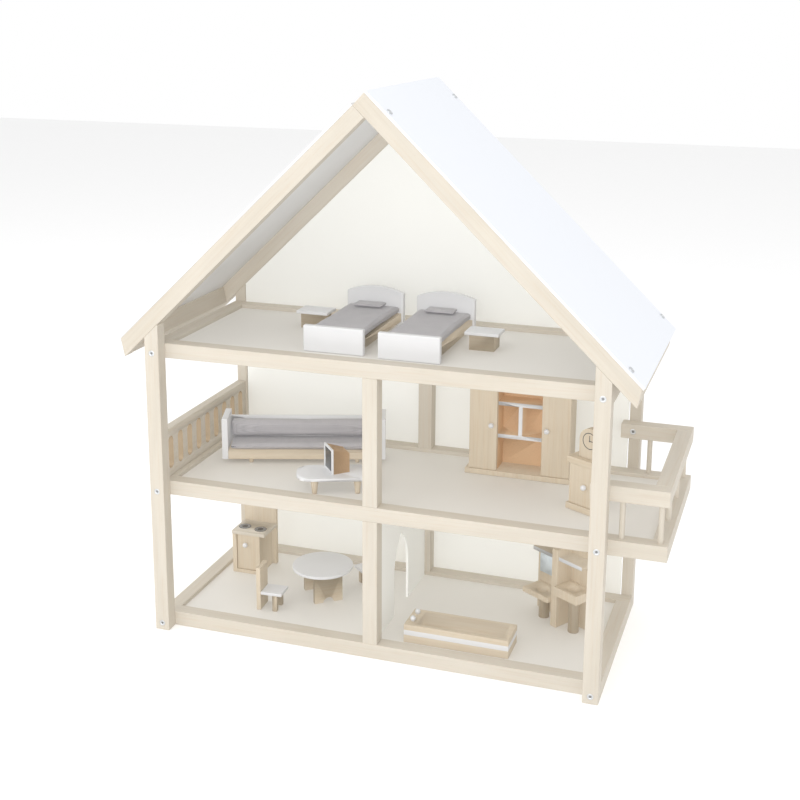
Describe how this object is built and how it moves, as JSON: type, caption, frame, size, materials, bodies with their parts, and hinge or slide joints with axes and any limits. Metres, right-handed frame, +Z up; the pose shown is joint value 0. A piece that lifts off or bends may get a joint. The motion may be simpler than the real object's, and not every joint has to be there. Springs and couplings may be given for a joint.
{
  "type": "dollhouse",
  "caption": "Open-fronted wooden dollhouse with a steep roof, an arched partition, a slotted railing, a balcony and furnished rooms with hinged doors.",
  "frame": {"origin": "centre of the house footprint over the posts, on the floor plane", "axes": "+Z up, front towards -Y, balcony towards +X"},
  "size_m": [0.6843, 0.278, 0.7033],
  "materials": {
    "timber": "pale whitewashed timber, matt, eased edges",
    "furniture": "pale timber with white painted boards, matt",
    "floor_board": "warm grey painted board, matt",
    "wall_board": "off-white painted board, matt",
    "roof_board": "cool light grey painted board with white edges, matt",
    "zinc": "zinc plated steel",
    "cloth": "mid grey woven cotton"
  },
  "bodies": {
    "house": {"post_front_left": "timber", "post_front_right": "timber", "post_rear_left": "timber", "post_rear_right": "timber", "balusters": "timber", "ground_rail_front": "timber", "ground_rail_rear": "timber", "ground_rails_side": "timber", "floor_ground": "floor_board", "middle_rail_front": "timber", "middle_rail_rear": "timber", "middle_rails_side": "timber", "floor_middle": "floor_board", "attic_rail_front": "timber", "attic_rail_rear": "timber", "attic_rails_side": "timber", "floor_attic": "floor_board", "floor_balcony": "floor_board", "handrails_long": "timber", "handrail_side": "timber", "back_panel_ground": "wall_board", "back_panel_middle": "wall_board", "back_panel_gable": "wall_board", "stiles_front": "timber", "studs_rear": "timber", "partition_arch": "wall_board", "railing_left": "timber", "rafter_front_right": "timber", "rafter_rear_right": "timber", "rafter_front_left": "timber", "rafter_rear_left": "timber", "eave_rails": "timber", "roof_panel_right": "roof_board", "roof_panel_left": "roof_board", "bolts": "zinc", "nightstands": "furniture", "wardrobe_case": "timber", "clock_cabinet": "timber", "mantel_clock": "timber", "stove_case": "timber", "chair_right": "timber", "washstand": "timber"},
    "wardrobe_left_leaf": {"wardrobe_door_left": "timber"},
    "wardrobe_right_leaf": {"wardrobe_door_right": "timber"},
    "clock_cabinet_leaf": {"clock_cabinet_door": "timber"},
    "stove_leaf": {"stove_door": "timber"},
    "sofa": {"sofa_frame": "furniture", "sofa_seat": "cloth", "sofa_cushion": "cloth"},
    "coffee_set": {"coffee_table": "furniture", "tv_set": "timber"},
    "left_bed": {"bed_left": "furniture", "mattress_left": "cloth", "pillow_left": "cloth"},
    "right_bed": {"bed_right": "furniture", "mattress_right": "cloth", "pillow_right": "cloth"},
    "dining_set": {"dining_table": "furniture"},
    "left_chair": {"chair_left": "timber"},
    "tub": {"bathtub": "timber"}
  },
  "joints": [
    {"name": "wardrobe_door_left_hinge", "type": "hinge", "parent": "house", "child": "wardrobe_left_leaf", "pos_m": [0.0783, 0.0507, 0.26], "axis": [0, 0, -1], "range_deg": [0, 110]},
    {"name": "wardrobe_door_right_hinge", "type": "hinge", "parent": "house", "child": "wardrobe_right_leaf", "pos_m": [0.2113, 0.0507, 0.26], "axis": [0, 0, 1], "range_deg": [0, 110]},
    {"name": "clock_cabinet_door_hinge", "type": "hinge", "parent": "house", "child": "clock_cabinet_leaf", "pos_m": [0.22836, -0.02657, 0.23], "axis": [0, 0, -1], "range_deg": [0, 100]},
    {"name": "stove_door_hinge", "type": "hinge", "parent": "house", "child": "stove_leaf", "pos_m": [-0.236, 0.025, 0.0196], "axis": [1, 0, 0], "range_deg": [0, 75]},
    {"name": "sofa_shift", "type": "slide", "parent": "house", "child": "sofa", "axis": [0.3223, -0.9466, 0], "range_m": [0, 0.02]},
    {"name": "coffee_table_shift", "type": "slide", "parent": "house", "child": "coffee_set", "axis": [-0.3584, 0.9336, 0], "range_m": [0, 0.02]},
    {"name": "bed_left_shift", "type": "slide", "parent": "house", "child": "left_bed", "axis": [0, -1, 0], "range_m": [-0.012, 0.018]},
    {"name": "bed_right_shift", "type": "slide", "parent": "house", "child": "right_bed", "axis": [0, -1, 0], "range_m": [-0.014, 0.015]},
    {"name": "dining_table_shift", "type": "slide", "parent": "house", "child": "dining_set", "axis": [0, -1, 0], "range_m": [0, 0.03]},
    {"name": "chair_left_shift", "type": "slide", "parent": "house", "child": "left_chair", "axis": [-1, 0, 0], "range_m": [0, 0.04]},
    {"name": "bathtub_shift", "type": "slide", "parent": "house", "child": "tub", "axis": [0, 1, 0], "range_m": [-0.006, 0.04]}
  ]
}
